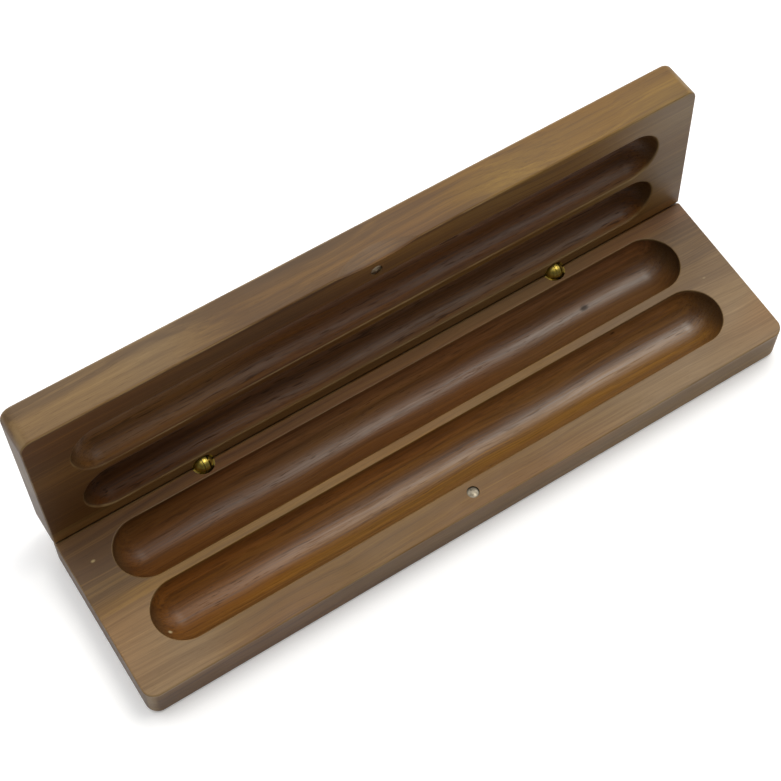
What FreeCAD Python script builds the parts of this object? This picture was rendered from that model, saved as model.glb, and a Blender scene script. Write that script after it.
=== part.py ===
import FreeCAD, Part
import math
import os

# Two-pen wooden case: two walnut halves, each with two round-bottomed pen
# grooves, joined by two small brass barrel hinges and held shut by a pair of
# disc magnets.  Millimetres, +Z up, origin at the centre of the base's
# underside, +X along the case.  Stored open, with the lid on its stop.

V = FreeCAD.Vector

# ---- driving dimensions -------------------------------------------------
CASE_LENGTH = 180.0          # along X
CASE_WIDTH = 48.6            # along Y when closed
HALF_THICKNESS = 11.0        # each wooden half
CORNER_R = 3.2               # upright corners
OUTER_EASE_R = 1.2           # edges of the outer faces
MATING_EASE_R = 0.4          # edges of the mating faces
RIM_EASE_R = 0.25            # rims of the pen grooves in the base
LID_RIM_EASE_R = 0.4         # and in the lid
SEAM_GAP = 0.2               # left between the halves when shut

GROOVE_R = 7.8               # round-nose cutter radius
GROOVE_PITCH = 18.0          # groove centre to groove centre
GROOVE_LENGTH = 160.2        # overall, ball ends included

OPEN_DEG = 94.0              # lid travel from shut to its stop
PIVOT_INSET = 3.9            # hinge pivot, in front of the back face
BEVEL_LEAD = 0.22            # bevel starts this far in front of the pivot
BEVEL_DEG = 45.0
HINGE_SPACING = 101.4        # between the two hinges

BARREL_R = 2.85
BARREL_LENGTH = 8.7
BARREL_CLEAR = 0.02          # glue film round a barrel
SLOT_HALF = 2.0              # half width of the slot for the leaves
SLOT_DEPTH = 5.6
LEAF_BALL_R = 2.38           # the leaf heads together are turned to a ball
CUP_R = 2.5                  # ball seat in the mouth of each barrel
SHANK_STACK_HALF = 1.88      # the shanks together fit the slot
LEAF_SHANK_HALF = 1.5
LEAF_REACH = 5.3             # pivot to the tail of a leaf
PIN_R = 0.5
PIN_CLEAR = 0.03             # running clearance on the pivot pin
RETAIN_DEPTH = 4.0           # retaining pin below the pivot
# leaves from left to right: owner, thickness, gap that follows
LEAVES = [("base", 1.30, 0.05), ("lid", 0.66, 0.14), ("base", 0.60, 0.05),
          ("lid", 0.55, 0.45), ("base", 0.96, 0.0)]

MAGNET_R = 1.5
MAGNET_HEIGHT = 2.5
MAGNET_SINK = 0.08
MAGNET_CROWN_R = 4.2         # its face is slightly crowned
MAGNET_X = -0.4              # a little left of the middle
MAGNET_CLEAR = 0.02
MAGNET_FROM_PIVOT = 40.3     # towards the front

NOTCH_HALF = 11.5            # thumb notch, half length along the edge
NOTCH_DEPTH = 1.3            # bite at the mating edge in the middle
NOTCH_DEG = 18.0             # slope of the scoop to the front face

# ---- derived ------------------------------------------------------------
HALF_L = CASE_LENGTH / 2.0
HALF_W = CASE_WIDTH / 2.0
T = HALF_THICKNESS
PIVOT_Y = HALF_W - PIVOT_INSET
PIVOT_Z = T + SEAM_GAP / 2.0
PIVOT = V(0, PIVOT_Y, PIVOT_Z)
X_AXIS = V(1, 0, 0)
HINGES = [("left", -HINGE_SPACING / 2.0), ("right", HINGE_SPACING / 2.0)]
MAGNET_Y = PIVOT_Y - MAGNET_FROM_PIVOT


def box(x0, x1, y0, y1, z0, z1):
    return Part.makeBox(x1 - x0, y1 - y0, z1 - z0, V(x0, y0, z0))


def edges_where(shape, test):
    found = []
    for e in shape.Edges:
        a, b = e.ParameterRange
        pts = [e.valueAt(a + (b - a) * k / 4.0) for k in range(5)]
        if test(pts):
            found.append(e)
    return found


def bevel_prism(shift=0.0):
    """Wedge taken off the back of the mating face, through the pivot line."""
    y0 = PIVOT_Y - BEVEL_LEAD - shift
    run = 30.0
    drop = run * math.tan(math.radians(BEVEL_DEG))
    pts = [V(-200, y0, T), V(-200, y0 + run, T - drop), V(-200, y0 + run, T + 30),
           V(-200, y0, T + 30), V(-200, y0, T)]
    return Part.Face(Part.makePolygon(pts)).extrude(V(400, 0, 0))


def groove(yc, z):
    """Pen groove cut by a round-nosed cutter, with its mouth at height z."""
    c = GROOVE_LENGTH / 2.0 - GROOVE_R
    s = Part.makeCylinder(GROOVE_R, 2 * c, V(-c, yc, z), X_AXIS)
    s = s.fuse(Part.makeSphere(GROOVE_R, V(-c, yc, z)))
    s = s.fuse(Part.makeSphere(GROOVE_R, V(c, yc, z)))
    return s.removeSplitter()


def half_blank(rim_ease):
    """One wooden half, mating face up at z = T, with eased edges and grooves."""
    b = box(-HALF_L, HALF_L, -HALF_W, HALF_W, 0, T)
    up = edges_where(b, lambda p: abs(p[0].z - p[-1].z) > T - 0.01)
    b = b.makeFillet(CORNER_R, up)
    b = b.cut(bevel_prism())
    low = edges_where(b, lambda p: all(abs(q.z) < 1e-4 for q in p))
    b = b.makeFillet(OUTER_EASE_R, low)

    def on_bevel(q):
        return abs((T - q.z) - (q.y - (PIVOT_Y - BEVEL_LEAD)) * math.tan(math.radians(BEVEL_DEG))) < 1e-3

    def top_or_bevel(p):
        return all(abs(q.z - T) < 1e-4 for q in p) or all(on_bevel(q) for q in p)

    b = b.makeFillet(MATING_EASE_R, edges_where(b, top_or_bevel))
    for yc in (-GROOVE_PITCH / 2.0, GROOVE_PITCH / 2.0):
        b = b.cut(groove(yc, T))
    rims = edges_where(b, lambda p: all(abs(q.z - T) < 1e-4 for q in p)
                       and all(abs(q.y) < GROOVE_PITCH / 2.0 + GROOVE_R + 0.01 for q in p)
                       and all(abs(q.x) < GROOVE_LENGTH / 2.0 + 0.01 for q in p))
    b = b.makeFillet(rim_ease, rims)
    return b


def drill(b):
    """Blind holes for the two barrels and the magnet."""
    r = BARREL_R + BARREL_CLEAR
    for _, xc in HINGES:
        b = b.cut(Part.makeCylinder(r, BARREL_LENGTH + 5, V(xc, PIVOT_Y, T - BARREL_LENGTH), V(0, 0, 1)))
    d = MAGNET_HEIGHT + MAGNET_SINK
    b = b.cut(Part.makeCylinder(MAGNET_R + MAGNET_CLEAR, d + 5, V(MAGNET_X, MAGNET_Y, T - d), V(0, 0, 1)))
    return b


def thumb_notch():
    """Large cylinder that scoops the front face of the lid towards its mating edge."""
    slope = math.radians(NOTCH_DEG)
    bite = NOTCH_DEPTH * math.cos(slope)
    r = (NOTCH_HALF ** 2 + bite ** 2) / (2.0 * bite)
    out = V(0, -math.cos(slope), math.sin(slope))
    along = V(0, math.sin(slope), math.cos(slope))
    centre = V(0, -HALF_W, T) + out * (r - bite)
    return Part.makeCylinder(r, 80, centre - along * 40, along)


def barrel(xc):
    """Slotted hinge barrel, mouth flush with the mating face, glue rings below."""
    s = Part.makeCylinder(BARREL_R, BARREL_LENGTH, V(xc, PIVOT_Y, T - BARREL_LENGTH), V(0, 0, 1))
    tail = edges_where(s, lambda p: all(abs(q.z - (T - BARREL_LENGTH)) < 1e-4 for q in p)
                       and p[0].distanceToPoint(p[2]) > 1.0)
    s = s.makeChamfer(0.4, tail)
    for k in range(5):
        zc = T - BARREL_LENGTH + 1.1 + 0.8 * k
        ring = Part.makeTorus(BARREL_R + 0.12, 0.3, V(xc, PIVOT_Y, zc), V(0, 0, 1))
        s = s.cut(ring)
    s = s.cut(box(xc - SLOT_HALF, xc + SLOT_HALF, PIVOT_Y - 5, PIVOT_Y + 5, PIVOT_Z - SLOT_DEPTH, PIVOT_Z + 5))
    s = s.cut(Part.makeSphere(CUP_R, V(xc, PIVOT_Y, PIVOT_Z)))
    s = s.cut(Part.makeCylinder(PIN_R + 0.01, 20, V(xc - 10, PIVOT_Y, PIVOT_Z - RETAIN_DEPTH), X_AXIS))
    return s.cut(bevel_prism(0.06))


def leaf(x0, thick, xc, pivot_hole):
    """Leaf: its head is a slice of the ball round the pivot, its shank is flat."""
    r = LEAF_BALL_R
    head = Part.makeSphere(r, V(xc, PIVOT_Y, PIVOT_Z)).common(
        box(x0, x0 + thick, PIVOT_Y - r - 1, PIVOT_Y + r + 1, PIVOT_Z - r - 1, PIVOT_Z + r + 1))
    shank = box(max(x0, xc - SHANK_STACK_HALF), min(x0 + thick, xc + SHANK_STACK_HALF),
                PIVOT_Y - LEAF_SHANK_HALF, PIVOT_Y + LEAF_SHANK_HALF, PIVOT_Z - LEAF_REACH, PIVOT_Z - 0.7)
    s = head.fuse(shank).removeSplitter()
    s = s.cut(Part.makeCylinder(pivot_hole, 20, V(xc - 10, PIVOT_Y, PIVOT_Z), X_AXIS))
    return s.cut(Part.makeCylinder(PIN_R + 0.01, 20, V(xc - 10, PIVOT_Y, PIVOT_Z - RETAIN_DEPTH), X_AXIS))


def to_lid(shape, opened=True):
    """Mirror a base-side piece to the lid, then swing it open about the pivot."""
    m = shape.mirror(PIVOT, V(0, 0, 1))
    if opened:
        m.rotate(PIVOT, X_AXIS, -OPEN_DEG)
    return m


nodes = {}

nodes["base_block"] = drill(half_blank(RIM_EASE_R))
nodes["lid_block"] = to_lid(drill(half_blank(LID_RIM_EASE_R).cut(thumb_notch())))

face_z = T - MAGNET_SINK
magnet = Part.makeCylinder(MAGNET_R, MAGNET_HEIGHT, V(MAGNET_X, MAGNET_Y, face_z - MAGNET_HEIGHT), V(0, 0, 1))
magnet = magnet.common(Part.makeSphere(MAGNET_CROWN_R, V(MAGNET_X, MAGNET_Y, face_z - MAGNET_CROWN_R)))
nodes["base_magnet"] = magnet
nodes["lid_magnet"] = to_lid(magnet)

pack = sum(t + g for _, t, g in LEAVES)
for side, xc in HINGES:
    nodes[side + "_base_barrel"] = barrel(xc)
    nodes[side + "_lid_barrel"] = to_lid(barrel(xc))
    x = xc - pack / 2.0
    count = {"base": 0, "lid": 0}
    for owner, thick, gap in LEAVES:
        count[owner] += 1
        hole = PIN_R + (0.01 if owner == "base" else PIN_CLEAR)
        s = leaf(x, thick, xc, hole)
        name = "%s_%s_leaf_%d" % (side, owner, count[owner])
        nodes[name] = s if owner == "base" else to_lid(s)
        x += thick + gap
    reach = math.sqrt(LEAF_BALL_R ** 2 - PIN_R ** 2) - 0.02
    nodes[side + "_pivot_pin"] = Part.makeCylinder(PIN_R, 2 * reach, V(xc - reach, PIVOT_Y, PIVOT_Z), X_AXIS)
    half = math.sqrt(BARREL_R ** 2 - PIN_R ** 2) - 0.05
    retain = Part.makeCylinder(PIN_R, 2 * half, V(xc - half, PIVOT_Y, PIVOT_Z - RETAIN_DEPTH), X_AXIS)
    nodes[side + "_base_retaining_pin"] = retain
    nodes[side + "_lid_retaining_pin"] = to_lid(retain)

os.makedirs("parts", exist_ok=True)
for name, shape in nodes.items():
    if shape.ShapeType == "Compound" and len(shape.Solids) == 1:
        shape = shape.Solids[0]
    shape.exportStep("parts/%s.step" % name)
    bb = shape.BoundBox
    print("%-28s solids %d valid %s vol %9.3f  x %.2f..%.2f y %.2f..%.2f z %.2f..%.2f" % (
        name, len(shape.Solids), shape.isValid(), shape.Volume,
        bb.XMin, bb.XMax, bb.YMin, bb.YMax, bb.ZMin, bb.ZMax))
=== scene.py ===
import math

import bpy
from mathutils import Matrix, Vector

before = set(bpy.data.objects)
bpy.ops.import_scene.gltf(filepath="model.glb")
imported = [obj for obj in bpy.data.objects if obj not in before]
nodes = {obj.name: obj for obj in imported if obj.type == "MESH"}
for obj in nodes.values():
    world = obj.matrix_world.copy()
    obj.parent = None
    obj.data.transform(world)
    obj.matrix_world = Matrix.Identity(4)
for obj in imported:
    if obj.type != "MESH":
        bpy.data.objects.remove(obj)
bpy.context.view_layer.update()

# ---------------------------------------------------------------- dimensions (metres)
PIVOT_Y, PIVOT_Z = 0.0204, 0.0111      # line of the two hinge pins
OPEN_DEG = 94.0                        # how far the lid stands open at rest
BASE_TOP = 0.0110                      # mating face of the lower half
LID_MATING = 0.0112                    # mating face of the upper half when shut


# ---------------------------------------------------------------- node helpers
class Graph:
    """A material and short names for the nodes it is made of."""

    def __init__(self, name):
        self.mat = bpy.data.materials.new(name)
        self.mat.use_nodes = True
        self.tree = self.mat.node_tree
        self.tree.nodes.clear()

    def node(self, kind, **settings):
        n = self.tree.nodes.new(kind)
        for k, v in settings.items():
            setattr(n, k, v)
        return n

    def put(self, socket, value):
        if isinstance(value, bpy.types.NodeSocket):
            self.tree.links.new(value, socket)
        elif value is not None:
            socket.default_value = value

    def math(self, op, a, b=None, c=None, clamp=False):
        n = self.node("ShaderNodeMath", operation=op, use_clamp=clamp)
        for i, v in enumerate((a, b, c)):
            self.put(n.inputs[i], v)
        return n.outputs[0]

    def vmath(self, op, a, b=None):
        n = self.node("ShaderNodeVectorMath", operation=op)
        self.put(n.inputs[0], a)
        self.put(n.inputs[1], b)
        return n.outputs["Value"] if op in ("DOT_PRODUCT", "LENGTH", "DISTANCE") else n.outputs["Vector"]

    def split(self, v):
        n = self.node("ShaderNodeSeparateXYZ")
        self.put(n.inputs[0], v)
        return n.outputs[0], n.outputs[1], n.outputs[2]

    def join(self, x, y, z):
        n = self.node("ShaderNodeCombineXYZ")
        for i, v in enumerate((x, y, z)):
            self.put(n.inputs[i], v)
        return n.outputs[0]

    def span(self, v, a, b, c=0.0, d=1.0, kind="SMOOTHSTEP"):
        n = self.node("ShaderNodeMapRange", interpolation_type=kind, clamp=True)
        for i, x in enumerate((v, a, b, c, d)):
            self.put(n.inputs[i], x)
        return n.outputs[0]

    def noise(self, v, scale=1.0, detail=2.0, rough=0.5, distortion=0.0):
        n = self.node("ShaderNodeTexNoise", noise_dimensions="3D")
        self.put(n.inputs["Vector"], v)
        n.inputs["Scale"].default_value = scale
        n.inputs["Detail"].default_value = detail
        n.inputs["Roughness"].default_value = rough
        n.inputs["Distortion"].default_value = distortion
        return n.outputs["Fac"]

    def mix(self, fac, a, b, kind="MIX"):
        n = self.node("ShaderNodeMix", data_type="RGBA", blend_type=kind, clamp_result=False)
        self.put(n.inputs[0], fac)
        self.put(n.inputs[6], a)
        self.put(n.inputs[7], b)
        return n.outputs[2]

    def ramp(self, fac, stops, kind="EASE"):
        n = self.node("ShaderNodeValToRGB")
        n.color_ramp.interpolation = kind
        e = n.color_ramp.elements
        while len(e) < len(stops):
            e.new(0.5)
        for i, (p, c) in enumerate(stops):
            e[i].position = p
            e[i].color = (c[0], c[1], c[2], 1.0)
        self.put(n.inputs[0], fac)
        return n.outputs[0]

    def bump(self, height, distance, strength=1.0, normal=None):
        n = self.node("ShaderNodeBump")
        n.inputs["Strength"].default_value = strength
        n.inputs["Distance"].default_value = distance
        self.put(n.inputs["Height"], height)
        self.put(n.inputs["Normal"], normal)
        return n.outputs[0]

    def edge(self, radius):
        """Mask of the sharp edges, found from how far a rounded normal leans off the true one."""
        n = self.node("ShaderNodeBevel", samples=4)
        n.inputs["Radius"].default_value = radius
        geo = self.node("ShaderNodeNewGeometry")
        return self.span(self.vmath("DOT_PRODUCT", n.outputs[0], geo.outputs["Normal"]), 0.995, 0.90)

    def surface(self, color, rough, normal, **fixed):
        p = self.node("ShaderNodeBsdfPrincipled")
        self.put(p.inputs["Base Color"], color)
        self.put(p.inputs["Roughness"], rough)
        self.put(p.inputs["Normal"], normal)
        for k, v in fixed.items():
            p.inputs[k.replace("_", " ")].default_value = v
        out = self.node("ShaderNodeOutputMaterial")
        self.tree.links.new(p.outputs[0], out.inputs[0])
        return self.mat


def rgba(r, g, b):
    return (r, g, b, 1.0)


# ---------------------------------------------------------------- walnut
def walnut(name, lid, tilt_deg, shift, board_tone_and_light, blemishes_and_glint):
    """Straight-grained walnut under a thin satin lacquer. X runs along the grain; the
    texture space is the block itself: Y across it, D down from its mating face, in mm."""
    g = Graph(name)
    tc = g.node("ShaderNodeTexCoord")
    mp = g.node("ShaderNodeMapping", vector_type="POINT")
    g.put(mp.inputs["Vector"], tc.outputs["Object"])
    if lid:
        a = math.radians(OPEN_DEG)
        c, s = math.cos(a), math.sin(a)
        mp.inputs["Rotation"].default_value = (a, 0.0, 0.0)
        mp.inputs["Location"].default_value = (
            0.0,
            PIVOT_Y - (PIVOT_Y * c - PIVOT_Z * s),
            PIVOT_Z - (PIVOT_Y * s + PIVOT_Z * c),
        )
    x, y, z = g.split(mp.outputs[0])
    X = g.math("MULTIPLY", x, 1000.0)
    Y = g.math("MULTIPLY", y, 1000.0)
    if lid:
        D = g.math("MULTIPLY_ADD", z, 1000.0, -LID_MATING * 1000.0)
    else:
        D = g.math("MULTIPLY_ADD", z, -1000.0, BASE_TOP * 1000.0)
    XS = g.math("ADD", X, shift)

    def field(fx, fq, fp, detail, rough, u=None, v=None):
        return g.noise(g.join(g.math("MULTIPLY", XS, fx), g.math("MULTIPLY", u, fq), g.math("MULTIPLY", v, fp)), 1.0, detail, rough)

    # inside the grooves the colour is redder and a little darker, and the finish glossier
    inside = g.math("MULTIPLY", g.span(D, 0.25, 1.3), g.span(D, 9.6, 8.8))
    inside = g.math("MULTIPLY", inside, g.span(g.math("ABSOLUTE", Y), 18.2, 17.4))
    inside = g.math("MULTIPLY", inside, g.span(g.math("ABSOLUTE", X), 83.0, 82.0))

    # growth layers: tilted sheets that wander a little along the length
    t = math.radians(tilt_deg)
    q0 = g.math("ADD", g.math("MULTIPLY", Y, math.cos(t)), g.math("MULTIPLY", D, math.sin(t)))
    p0 = g.math("SUBTRACT", g.math("MULTIPLY", D, math.cos(t)), g.math("MULTIPLY", Y, math.sin(t)))
    wander = field(0.011, 0.02, 0.02, 2.0, 0.5, Y, D)
    wobble = field(0.045, 0.10, 0.10, 2.0, 0.5, Y, D)
    q = g.math("ADD", q0, g.math("MULTIPLY_ADD", wander, 7.0, g.math("MULTIPLY", wobble, 1.1)))

    broad = field(0.0055, 0.085, 0.025, 2.0, 0.5, q, p0)
    streak = field(0.010, 0.42, 0.11, 5.0, 0.62, q, p0)
    lines = field(0.008, 1.55, 0.35, 3.0, 0.6, q, p0)
    fine = field(0.040, 3.1, 2.0, 3.0, 0.6, q, p0)
    fibre = field(0.16, 9.0, 7.0, 2.0, 0.6, q, p0)
    pore_n = field(0.26, 3.9, 3.4, 2.0, 0.55, q, p0)
    pore_w = field(0.03, 0.30, 0.20, 1.0, 0.5, q, p0)
    pore_c = field(0.15, 2.1, 1.9, 1.0, 0.5, q, p0)
    pores = g.math("MULTIPLY", g.span(pore_n, 0.58, 0.70), g.span(pore_w, 0.34, 0.62))
    dashes = g.math("MULTIPLY", g.span(pore_c, 0.60, 0.68), g.span(pore_w, 0.62, 0.40))
    pores = g.math("MULTIPLY", pores, g.math("MULTIPLY_ADD", inside, 0.55, 0.30))
    pores = g.math("MAXIMUM", pores, g.math("MULTIPLY", dashes, g.math("MULTIPLY", inside, 0.95 if lid else 0.45)))
    hairline = g.span(field(0.014, 3.0, 1.3, 2.0, 0.55, q, p0), 0.46, 0.66)
    hue = field(0.013, 0.035, 0.05, 1.0, 0.5, Y, D)

    tone = g.math("ADD", g.math("MULTIPLY", broad, 0.50), g.math("MULTIPLY", streak, 0.40))
    tone = g.math("ADD", tone, g.math("ADD", g.math("MULTIPLY", lines, 0.33), g.math("MULTIPLY", fine, 0.20)))
    # the board itself, and painted shade, light and sheen: darker, paler and redder stretches
    zones = []
    for change, tint, (cx, hx, sx), (cy, hy, sy), (cd, hd, sd) in board_tone_and_light:
        zone = g.span(g.math("ABSOLUTE", g.math("SUBTRACT", X, cx)), hx + sx, hx)
        zone = g.math("MULTIPLY", zone, g.span(g.math("ABSOLUTE", g.math("SUBTRACT", Y, cy)), hy + sy, hy))
        zone = g.math("MULTIPLY", zone, g.span(g.math("ABSOLUTE", g.math("SUBTRACT", D, cd)), hd + sd, hd))
        tone = g.math("MULTIPLY_ADD", zone, change, tone)
        zones.append((zone, tint))
    tone = g.span(tone, 0.38, 1.06, 0.0, 1.0, "LINEAR")
    color = g.ramp(tone, [
        (0.00, (0.040, 0.0178, 0.0048)),
        (0.28, (0.090, 0.0440, 0.0118)),
        (0.52, (0.146, 0.0765, 0.0200)),
        (0.76, (0.200, 0.1110, 0.0305)),
        (1.00, (0.255, 0.1500, 0.0440)),
    ])
    golden = g.mix(1.0, color, rgba(1.06, 0.98, 0.74) if lid else rgba(1.06, 0.965, 0.84), "MULTIPLY")
    greyed = g.mix(1.0, color, rgba(0.97, 1.02, 1.12), "MULTIPLY")
    color = g.mix(g.span(hue, 0.38, 0.62), golden, greyed)
    color = g.mix(inside, color, g.mix(1.0, color, rgba(1.07, 0.85, 0.66), "MULTIPLY"))
    for zone, tint in zones:
        color = g.mix(zone, color, g.mix(1.0, color, rgba(*tint), "MULTIPLY"))
    color = g.mix(g.math("MULTIPLY", hairline, g.math("MULTIPLY_ADD", inside, 0.22, 0.22)), color, rgba(0.054, 0.022, 0.0070))
    color = g.mix(g.math("MULTIPLY", g.span(fibre, 0.35, 0.70), 0.18), color, rgba(0.052, 0.024, 0.008))
    color = g.mix(g.math("MULTIPLY", pores, 0.58), color, rgba(0.022, 0.0095, 0.0035))

    # a few small blemishes, and on the base a painted glint
    blemish_and_glint_mask = None
    for (mx, my, md), size, strength, mark in blemishes_and_glint:
        away = g.vmath("DISTANCE", g.join(g.math("MULTIPLY", X, 0.6), Y, D), (mx * 0.6, my, md))
        away = g.math("MULTIPLY_ADD", fibre, size * 0.8, away)
        spot = g.math("MULTIPLY", g.span(away, size * 1.5, size * 0.7), strength)
        color = g.mix(spot, color, rgba(*mark))
        blemish_and_glint_mask = spot if blemish_and_glint_mask is None else g.math("MAXIMUM", blemish_and_glint_mask, spot)

    # cut ends of the fibres: darker, mottled instead of streaked
    nx, ny, nz = g.split(tc.outputs["Normal"])
    end = g.span(g.math("ABSOLUTE", nx), 0.55, 0.92)
    speck = field(0.6, 5.0, 5.0, 3.0, 0.6, q, p0)
    end_color = g.mix(g.span(speck, 0.35, 0.68), rgba(0.046, 0.0215, 0.0075), rgba(0.105, 0.056, 0.0205))
    color = g.mix(g.math("MULTIPLY", end, 0.75), color, end_color)

    # outer arrises a little paler: partly handling wear, where the finish is thinner, partly a painted highlight
    # that hides the dark line the rounding would show
    ax, ay, az = g.math("ABSOLUTE", nx), g.math("ABSOLUTE", ny), g.math("ABSOLUTE", nz)
    flatness = g.math("MAXIMUM", ax, g.math("MAXIMUM", ay, az))
    outside = g.span(g.math("ABSOLUTE", Y), 18.5, 20.0)
    outside = g.math("MAXIMUM", outside, g.span(g.math("ABSOLUTE", X), 81.0, 83.0))
    outside = g.math("MAXIMUM", outside, g.span(D, 0.62, 0.45))
    # the slope of the hinge-side bevel is not an edge: only its two borders are painted paler
    bevel = g.math("MULTIPLY", g.span(Y, 18.5, 20.0), g.math("MULTIPLY", g.span(D, 0.35, 0.65), g.span(D, 4.0, 3.5)))
    bevel = g.math("MULTIPLY", bevel, g.span(g.math("ABSOLUTE", X), 88.5, 87.0))
    outside = g.math("MULTIPLY", outside, g.math("SUBTRACT", 1.0, bevel))
    arris = g.math("MULTIPLY", g.span(flatness, 0.985, 0.86), outside)
    wear_and_highlight = field(0.06, 0.16, 0.16, 3.0, 0.55, Y, D)
    arris = g.math("MULTIPLY", arris, g.span(wear_and_highlight, 0.30, 0.62))
    color = g.mix(g.math("MULTIPLY", arris, 0.62), color, rgba(0.235, 0.155, 0.068))

    # satin lacquer: gloss a little uneven, duller in the pores and on the end grain
    patch = field(0.05, 0.09, 0.09, 3.0, 0.55, Y, D)
    rough = g.span(patch, 0.30, 0.70, 0.44, 0.54, "LINEAR")
    rough = g.math("SUBTRACT", rough, g.math("MULTIPLY", inside, 0.12))
    rough = g.math("ADD", rough, g.math("MULTIPLY", pores, 0.10))
    rough = g.math("ADD", rough, g.math("MULTIPLY", end, 0.04))

    if lid:
        dull = g.math("MULTIPLY", g.span(D, 0.6, 0.3), g.span(X, 88.0, 55.0))
    else:
        dull = g.math("MULTIPLY", g.span(Y, -23.2, -23.9), g.span(D, 0.4, 1.0))
    gloss = g.math("MULTIPLY_ADD", dull, -0.18, 0.36)
    gloss = g.math("MULTIPLY_ADD", inside, 0.01 if lid else 0.11, gloss)
    if not lid:
        gloss = g.math("MULTIPLY_ADD", g.math("MULTIPLY", inside, g.span(Y, 0.0, -2.0)), 0.10, gloss)
    # the finish in the grooves is thinner towards their left ends and thicker to the right
    thin = g.math("MULTIPLY", inside, g.span(X, -25.0, -75.0))
    if lid:
        thin = g.math("MULTIPLY", thin, g.span(Y, -1.0, 1.0))
    gloss = g.math("MULTIPLY", gloss, g.math("MULTIPLY_ADD", thin, -0.50 if lid else -0.44, 1.0))
    if not lid:
        thick = g.math("MULTIPLY", inside, g.span(X, 15.0, 65.0))
        gloss = g.math("MULTIPLY", gloss, g.math("MULTIPLY_ADD", thick, 0.18, 1.0))
    gloss = g.math("MULTIPLY", gloss, g.math("MULTIPLY_ADD", pores, -0.40, 1.0))
    gloss = g.math("MULTIPLY", gloss, g.math("MULTIPLY_ADD", blemish_and_glint_mask, -0.85, 1.0))
    gloss = g.math("MULTIPLY", gloss, g.math("MULTIPLY_ADD", g.math("MULTIPLY", g.span(fine, 0.40, 0.66), inside), -0.36, 1.0))

    relief = g.math("ADD", g.math("MULTIPLY", fine, 0.45), g.math("MULTIPLY", fibre, 0.35))
    relief = g.math("SUBTRACT", relief, g.math("MULTIPLY", pores, 0.5))
    normal = g.bump(relief, 0.00004, 0.65)
    mat = g.surface(color, rough, normal, IOR=1.5)
    g.put(g.tree.nodes["Principled BSDF"].inputs["Specular IOR Level"], gloss)
    return mat


# ---------------------------------------------------------------- brass and nickel
def brass(name, bright, dull, rough_lo, rough_hi, lines):
    """Machined brass, handled and slightly tarnished: fine tool lines, darker patches."""
    g = Graph(name)
    tc = g.node("ShaderNodeTexCoord")
    x, y, z = g.split(tc.outputs["Object"])
    mm = g.join(g.math("MULTIPLY", x, 1000.0), g.math("MULTIPLY", y, 1000.0), g.math("MULTIPLY", z, 1000.0))
    cloud = g.noise(mm, 0.9, 4.0, 0.6)
    specks = g.noise(mm, 6.0, 3.0, 0.6)
    tool = g.noise(g.vmath("MULTIPLY", mm, lines), 1.0, 2.0, 0.5)
    tarnish = g.math("ADD", g.math("MULTIPLY", g.span(cloud, 0.38, 0.66), 0.65), g.math("MULTIPLY", g.span(specks, 0.52, 0.72), 0.35), clamp=True)
    color = g.mix(tarnish, bright, dull)
    rubbed = g.math("MULTIPLY", g.edge(0.00010), g.span(cloud, 0.66, 0.36, 0.25, 0.75))
    color = g.mix(rubbed, color, rgba(0.78, 0.64, 0.26))
    rough = g.math("ADD", g.span(tarnish, 0.0, 1.0, rough_lo, rough_hi, "LINEAR"), g.math("MULTIPLY", tool, 0.08))
    normal = g.bump(g.math("ADD", g.math("MULTIPLY", tool, 0.7), g.math("MULTIPLY", specks, 0.3)), 0.00002, 0.6)
    return g.surface(color, rough, normal, Metallic=1.0)


def nickel(name, clean, dull):
    """Nickel-plated disc: turned face, hair scratches, a few dull spots."""
    g = Graph(name)
    tc = g.node("ShaderNodeTexCoord")
    x, y, z = g.split(tc.outputs["Object"])
    mm = g.join(g.math("MULTIPLY", x, 1000.0), g.math("MULTIPLY", y, 1000.0), g.math("MULTIPLY", z, 1000.0))
    cloud = g.noise(mm, 1.3, 3.0, 0.55)
    hair_a = g.noise(g.vmath("MULTIPLY", mm, (1.2, 22.0, 22.0)), 1.0, 2.0, 0.5)
    hair_b = g.noise(g.vmath("MULTIPLY", mm, (24.0, 1.6, 1.6)), 1.0, 2.0, 0.5)
    hair = g.math("MAXIMUM", g.span(hair_a, 0.60, 0.74), g.span(hair_b, 0.62, 0.76))
    color = g.mix(g.span(cloud, 0.36, 0.68), clean, dull)
    color = g.mix(g.math("MULTIPLY", hair, 0.35), color, rgba(0.40, 0.37, 0.32))
    color = g.mix(g.math("MULTIPLY", g.edge(0.00010), 0.30), color, rgba(0.34, 0.31, 0.26))
    rough = g.math("ADD", g.span(cloud, 0.30, 0.70, 0.32, 0.46, "LINEAR"), g.math("MULTIPLY", hair, 0.08))
    normal = g.bump(g.math("SUBTRACT", cloud, g.math("MULTIPLY", hair, 0.5)), 0.00002, 0.6)
    return g.surface(color, rough, normal, Metallic=1.0)
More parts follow.
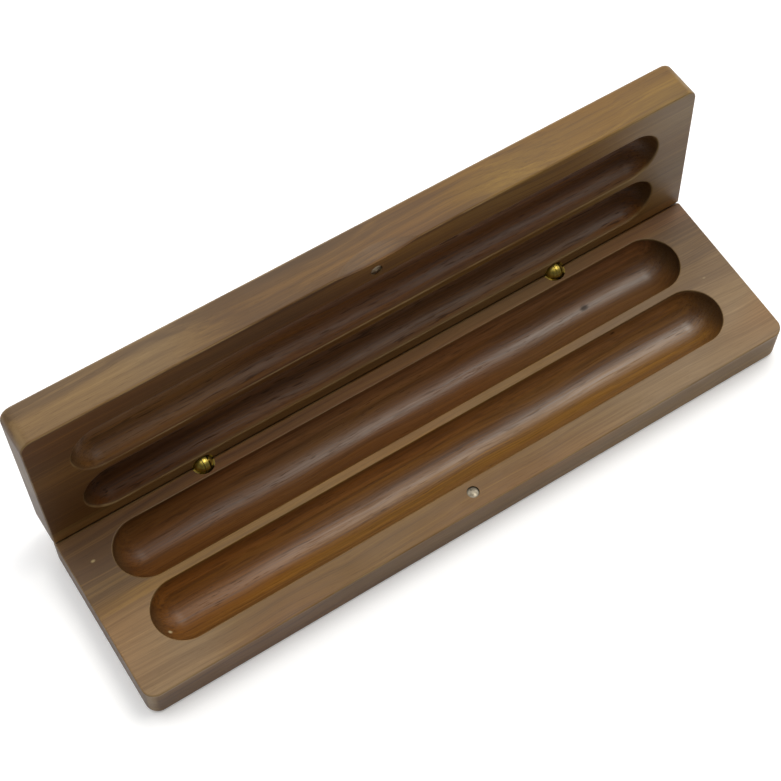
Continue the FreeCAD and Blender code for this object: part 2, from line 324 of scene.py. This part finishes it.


# stretches of each board, some of them painted shade, light or sheen: tone change, tint, then centre, half size and
# soft edge along X, Y and D
wood_base = walnut("walnut_base", False, 24.0, 40.0, [
    # painted sheen: front left corner and right end paler and greyer; painted shade: back left corner darker and
    # redder, in the lid's shade
    (0.20, (1.09, 1.17, 1.72), (-86.0, 5.0, 28.0), (-24.0, 18.0, 8.0), (0.0, 0.5, 1.5)),
    (0.12, (1.05, 1.12, 1.66), (84.0, 22.0, 40.0), (-20.0, 14.0, 14.0), (0.0, 0.5, 1.5)),
    (-0.12, (0.95, 0.86, 0.80), (-70.0, 40.0, 60.0), (20.0, 8.5, 7.0), (0.0, 0.5, 1.5)),
    (-0.06, (0.97, 0.98, 1.16), (88.0, 4.0, 10.0), (20.0, 12.0, 10.0), (0.0, 0.5, 1.5)),
    # painted fill light: the back rim a little paler and redder in the lid's shade
    (0.03, (1.08, 0.98, 0.96), (20.0, 60.0, 24.0), (20.0, 3.0, 1.0), (0.0, 0.4, 0.8)),
    # middle of the front rim and the divider more golden
    (0.01, (0.99, 0.87, 0.46), (-20.0, 24.0, 30.0), (-21.0, 4.0, 2.0), (0.0, 0.5, 1.0)),
    (0.13, (1.05, 1.00, 0.60), (-24.0, 50.0, 30.0), (0.0, 1.3, 0.8), (0.0, 0.3, 0.6)),
    # a paler golden streak along the bottom of the front groove
    (0.08, (1.05, 1.04, 0.60), (10.0, 50.0, 40.0), (-10.6, 1.6, 2.6), (7.4, 0.6, 1.6)),
    # painted fill light: groove walls on the hinge side, which lie in shade, a little paler and redder
    (0.12, (1.10, 1.00, 1.02), (0.0, 70.0, 14.0), (-1.9, 0.8, 1.4), (2.6, 1.8, 1.0)),
    (0.16, (1.10, 1.04, 1.25), (20.0, 60.0, 30.0), (16.1, 0.8, 1.4), (2.6, 1.8, 1.0)),
    # painted shade and sheen: back groove darker and greyer under the lid; painted shade and light: front face
    # darker to the left and paler to the right
    (-0.04, (0.84, 0.84, 1.06), (0.0, 84.0, 2.0), (9.0, 8.2, 0.5), (5.5, 4.8, 0.6)),
    (-0.02, (0.84, 0.78, 0.74), (-80.0, 30.0, 120.0), (-24.3, 0.5, 0.5), (6.0, 5.0, 0.6)),
    (0.06, (1.05, 1.06, 1.12), (84.0, 20.0, 70.0), (-24.3, 0.5, 0.5), (6.0, 5.0, 0.6)),
], [
    ((-84.5, 12.1, 0.0), 0.42, 0.7, (0.42, 0.33, 0.17)),
    ((81.8, -1.4, 0.0), 0.30, 0.4, (0.36, 0.28, 0.16)),
    ((54.2, 10.7, 7.6), 0.95, 0.85, (0.020, 0.010, 0.005)),
    ((53.5, -1.4, 1.8), 0.55, 0.7, (0.022, 0.011, 0.006)),
    # painted glint: a cream highlight on the left rim of the front groove
    ((-77.3, -10.3, 5.9), 0.55, 0.7, (0.55, 0.47, 0.28)),
])
wood_lid = walnut("walnut_lid", True, -18.0, 365.0, [
    # front face: a dark streak along the outer edge, painted sheen pale and greyer to the left, golden to the right
    (-0.11, (0.95, 0.98, 1.06), (-55.0, 35.0, 25.0), (-24.3, 0.6, 0.6), (10.5, 2.0, 3.0)),
    (0.03, (1.03, 1.20, 1.90), (-80.0, 18.0, 30.0), (-24.3, 0.6, 0.6), (4.0, 7.0, 2.0)),
    (-0.13, (0.96, 0.89, 0.60), (-8.0, 22.0, 26.0), (-24.3, 0.6, 0.8), (5.0, 8.0, 2.0)),
    (0.03, (1.04, 1.00, 0.46), (65.0, 30.0, 40.0), (-24.3, 0.6, 0.6), (5.0, 8.0, 2.0)),
    # mating face: painted shade, darker and redder towards the left; golden in the middle; painted fill light on the
    # lowest strip, a little paler where the gap shades it; painted sheen, paler at the right end
    (-0.12, (0.86, 0.70, 0.52), (-66.0, 30.0, 50.0), (-4.0, 19.6, 1.0), (0.0, 0.4, 0.6)),
    (-0.04, (0.92, 0.84, 0.54), (16.0, 30.0, 40.0), (-4.0, 19.6, 1.0), (0.0, 0.4, 0.6)),
    (0.16, (1.10, 1.00, 1.10), (0.0, 92.0, 2.0), (20.0, 2.4, 1.0), (0.0, 0.5, 1.0)),
    (0.05, (1.06, 1.06, 1.00), (80.0, 8.0, 24.0), (-4.0, 19.6, 1.0), (0.0, 0.4, 0.6)),
    # painted shade: grooves darker, most of all at the left end of the lower one; painted sheen: a pale bluish patch
    # at the left end of the upper one
    (-0.01, (1.02, 0.92, 0.80), (0.0, 84.0, 2.0), (0.0, 17.2, 0.5), (5.5, 4.8, 0.6)),
    (0.05, (1.06, 1.16, 1.45), (-68.0, 16.0, 26.0), (-9.0, 8.2, 0.5), (5.5, 4.8, 0.6)),
    (-0.12, (0.92, 0.90, 0.90), (-78.0, 16.0, 26.0), (9.0, 8.2, 0.5), (5.5, 4.8, 0.6)),
], [
    ((18.0, 4.5, 6.4), 0.40, 0.6, (0.020, 0.010, 0.006)),
])
brass_leaf = brass("brass_leaf", rgba(0.68, 0.53, 0.115), rgba(0.33, 0.245, 0.040), 0.25, 0.42, (2.0, 14.0, 14.0))
brass_barrel = brass("brass_barrel", rgba(0.58, 0.45, 0.110), rgba(0.27, 0.20, 0.034), 0.24, 0.40, (1.0, 1.0, 16.0))
brass_pin = brass("brass_pin", rgba(0.70, 0.54, 0.150), rgba(0.40, 0.29, 0.060), 0.18, 0.30, (16.0, 1.0, 1.0))
nickel_base = nickel("nickel_base", rgba(0.21, 0.185, 0.145), rgba(0.11, 0.095, 0.072))
# painted shade: the lid's magnet is the same nickel as the base's, given darker, browner colours
nickel_lid_painted_shade = nickel("nickel_lid_painted_shade", rgba(0.18, 0.145, 0.098), rgba(0.12, 0.094, 0.062))

for name, obj in nodes.items():
    if name == "base_block":
        m = wood_base
    elif name == "lid_block":
        m = wood_lid
    elif "magnet" in name:
        m = nickel_base if name.startswith("base") else nickel_lid_painted_shade
    elif "pin" in name:
        m = brass_pin
    elif "barrel" in name:
        m = brass_barrel
    else:
        m = brass_leaf
    obj.data.materials.clear()
    obj.data.materials.append(m)

# ---------------------------------------------------------------- floor
fm = Graph("pale_floor")
ftc = fm.node("ShaderNodeTexCoord")
fcol = fm.mix(fm.noise(ftc.outputs["Object"], 6.0, 3.0, 0.5), rgba(0.90, 0.915, 0.955), rgba(0.92, 0.935, 0.975))
fm.surface(fcol, 0.7, None, Specular_IOR_Level=0.2, Emission_Color=rgba(1.0, 1.0, 1.0), Emission_Strength=0.18)
fmesh = bpy.data.meshes.new("floor")
fmesh.from_pydata([(-9, -9, 0), (9, -9, 0), (9, 9, 0), (-9, 9, 0)], [], [(0, 1, 2, 3)])
floor = bpy.data.objects.new("floor", fmesh)
floor.location = (0.0, 0.0, -0.00005)
bpy.context.scene.collection.objects.link(floor)
fmesh.materials.append(fm.mat)

# ---------------------------------------------------------------- light
# a broad soft overhead source a little behind the case; the front of the room is dim
world = bpy.data.worlds.new("studio")
bpy.context.scene.world = world
world.use_nodes = True
wt = world.node_tree
wt.nodes.clear()
wc = wt.nodes.new("ShaderNodeTexCoord")
wd = wt.nodes.new("ShaderNodeVectorMath")
wd.operation = "DOT_PRODUCT"
light_dir = Vector((0.22, 0.56, 0.80)).normalized()
wd.inputs[1].default_value = light_dir
wt.links.new(wc.outputs["Generated"], wd.inputs[0])
wr = wt.nodes.new("ShaderNodeMapRange")
wr.interpolation_type = "SMOOTHSTEP"
wr.inputs[1].default_value = 0.15
wr.inputs[2].default_value = 0.95
wr.inputs[3].default_value = 0.09
wr.inputs[4].default_value = 1.75
wt.links.new(wd.outputs["Value"], wr.inputs[0])
wb = wt.nodes.new("ShaderNodeBackground")
wb.inputs[0].default_value = (1.0, 0.985, 0.945, 1.0)
wt.links.new(wr.outputs[0], wb.inputs[1])
wo = wt.nodes.new("ShaderNodeOutputWorld")
wt.links.new(wb.outputs[0], wo.inputs[0])


def area(name, place, target, size, power, color):
    data = bpy.data.lights.new(name, "AREA")
    data.shape = "RECTANGLE"
    data.size, data.size_y = size
    data.energy = power
    data.color = color
    o = bpy.data.objects.new(name, data)
    bpy.context.scene.collection.objects.link(o)
    o.location = place
    o.rotation_mode = "QUATERNION"
    o.rotation_quaternion = (Vector(target) - Vector(place)).to_track_quat("-Z", "Y")
    return o


area("key", (0.36, 0.09, 1.12), (0.0, 0.0, 0.02), (0.66, 0.46), 5.0, (1.0, 0.955, 0.86))

# ---------------------------------------------------------------- camera
cam = bpy.data.cameras.new("camera")
cam.sensor_fit = "HORIZONTAL"
cam.sensor_width = 36.0
cam.lens = 1905.553 / 781.0 * 36.0
cam.shift_x = -25.0 / 781.0
cam.shift_y = -45.0 / 781.0
cam.clip_start, cam.clip_end = 0.01, 50.0
cam_obj = bpy.data.objects.new("camera", cam)
bpy.context.scene.collection.objects.link(cam_obj)
right = Vector((0.84160429, -0.53963380, 0.02230644))
down = Vector((-0.46188823, -0.74053109, -0.48813213))
fwd = Vector((0.27993120, 0.40051101, -0.87248464))
eye = Vector((-0.12197588, -0.16733578, 0.42061700))
m = Matrix.Identity(4)
for i in range(3):
    m[i][0], m[i][1], m[i][2], m[i][3] = right[i], -down[i], -fwd[i], eye[i]
cam_obj.matrix_world = m
bpy.context.scene.camera = cam_obj

vs = bpy.context.scene.view_settings
vs.view_transform = "Standard"
vs.look = "None"
vs.exposure = 0.0
vs.gamma = 1.0
